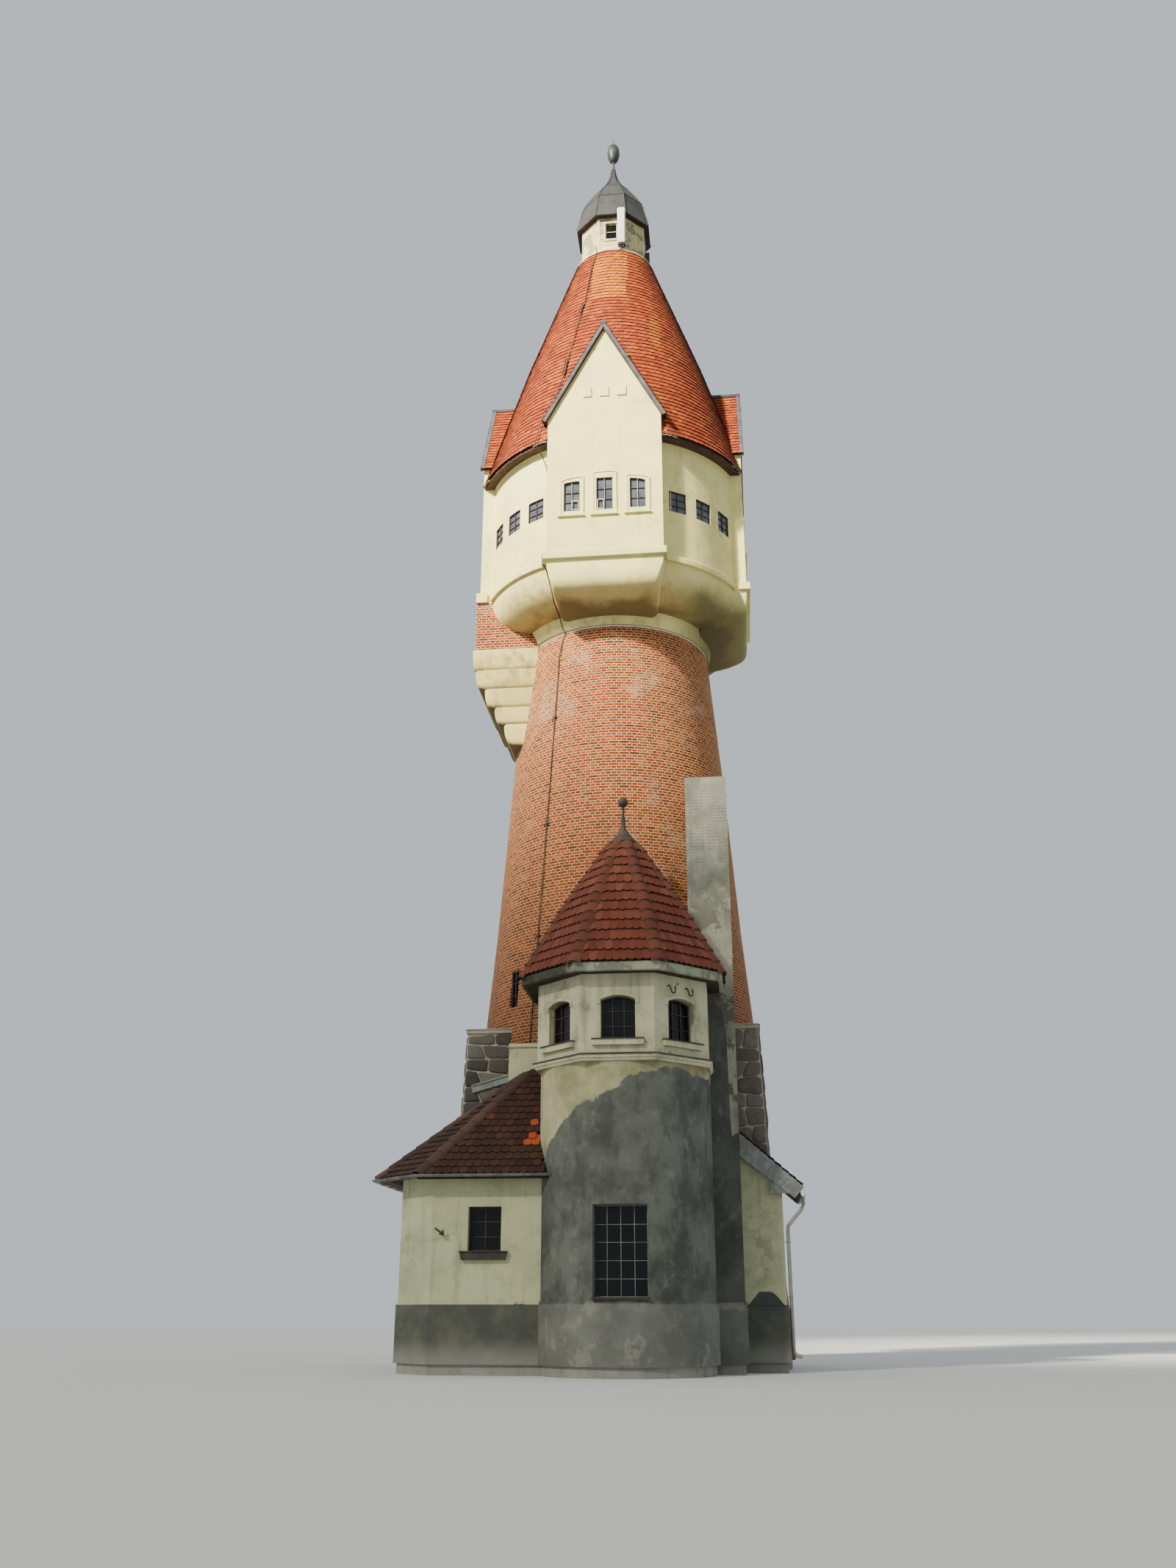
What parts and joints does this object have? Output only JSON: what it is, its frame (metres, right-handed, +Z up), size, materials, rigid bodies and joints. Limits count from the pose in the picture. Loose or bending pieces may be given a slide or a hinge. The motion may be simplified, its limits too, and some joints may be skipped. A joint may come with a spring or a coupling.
{
  "type": "water tower",
  "caption": "Round tapering brick water tower with a rendered head and gabled bays, a tiled cone roof with lantern, a stair turret and low annexes at its foot.",
  "frame": {"origin": "centre of the round shaft at the underside of the ground floor", "axes": "+Z up along the tower's axis, -Y towards the front with the stair turret, +X to the right of someone who faces that front"},
  "size_m": [9.405, 10.19, 37.1],
  "materials": {
    "render": "rough plaster",
    "brick": "rough",
    "cement": "rough cement render",
    "fieldstone": "rough",
    "tile": "rough",
    "sheet": "weathered",
    "timber": "peeling paint",
    "board": "painted",
    "concrete": "rough",
    "glass": "smooth",
    "panel": "satin"
  },
  "bodies": {
    "root": {"ground_floor": "concrete", "shaft_wall_front_left": "brick", "drum_wall_front_left": "render", "stone_pier_front_left": "fieldstone", "shaft_wall_front_right": "brick", "drum_wall_front_right": "render", "stone_pier_front_right": "fieldstone", "shaft_wall_back_right": "brick", "drum_wall_back_right": "render", "stone_pier_back_right": "fieldstone", "shaft_wall_back_left": "brick", "drum_wall_back_left": "render", "stone_pier_back_left": "fieldstone", "bay_wall_front": "render", "bay_roof_front": "tile", "bay_wall_right": "render", "bay_roof_right": "tile", "bay_wall_back": "render", "bay_roof_back": "tile", "bay_wall_left": "render", "bay_roof_left": "tile", "left_bay_brickwork": "brick", "left_bay_corbel": "render", "head_floor": "concrete", "head_glazing": "glass", "main_roof_front": "tile", "main_roof_back": "tile", "lantern_wall": "timber", "lantern_glazing": "glass", "lantern_floor": "timber", "cupola": "sheet", "finial": "sheet", "panel_antenna": "panel", "turret_lower_wall_left": "cement", "turret_lower_wall_right": "cement", "turret_cornice": "render", "turret_floor": "concrete", "turret_upper_wall_left": "render", "turret_upper_wall_right": "render", "turret_ground_glazing": "glass", "turret_upper_glazing": "glass", "turret_roof": "tile", "turret_finial": "sheet", "flue_pier": "cement", "link_wall": "render", "annex_wall": "render", "annex_roof": "tile", "annex_glazing": "glass", "annex_gutter": "sheet", "wing_wall": "render", "wing_roof": "tile", "wing_barge_board": "board", "wing_gutter": "sheet", "downspout": "sheet"}
  },
  "joints": []
}
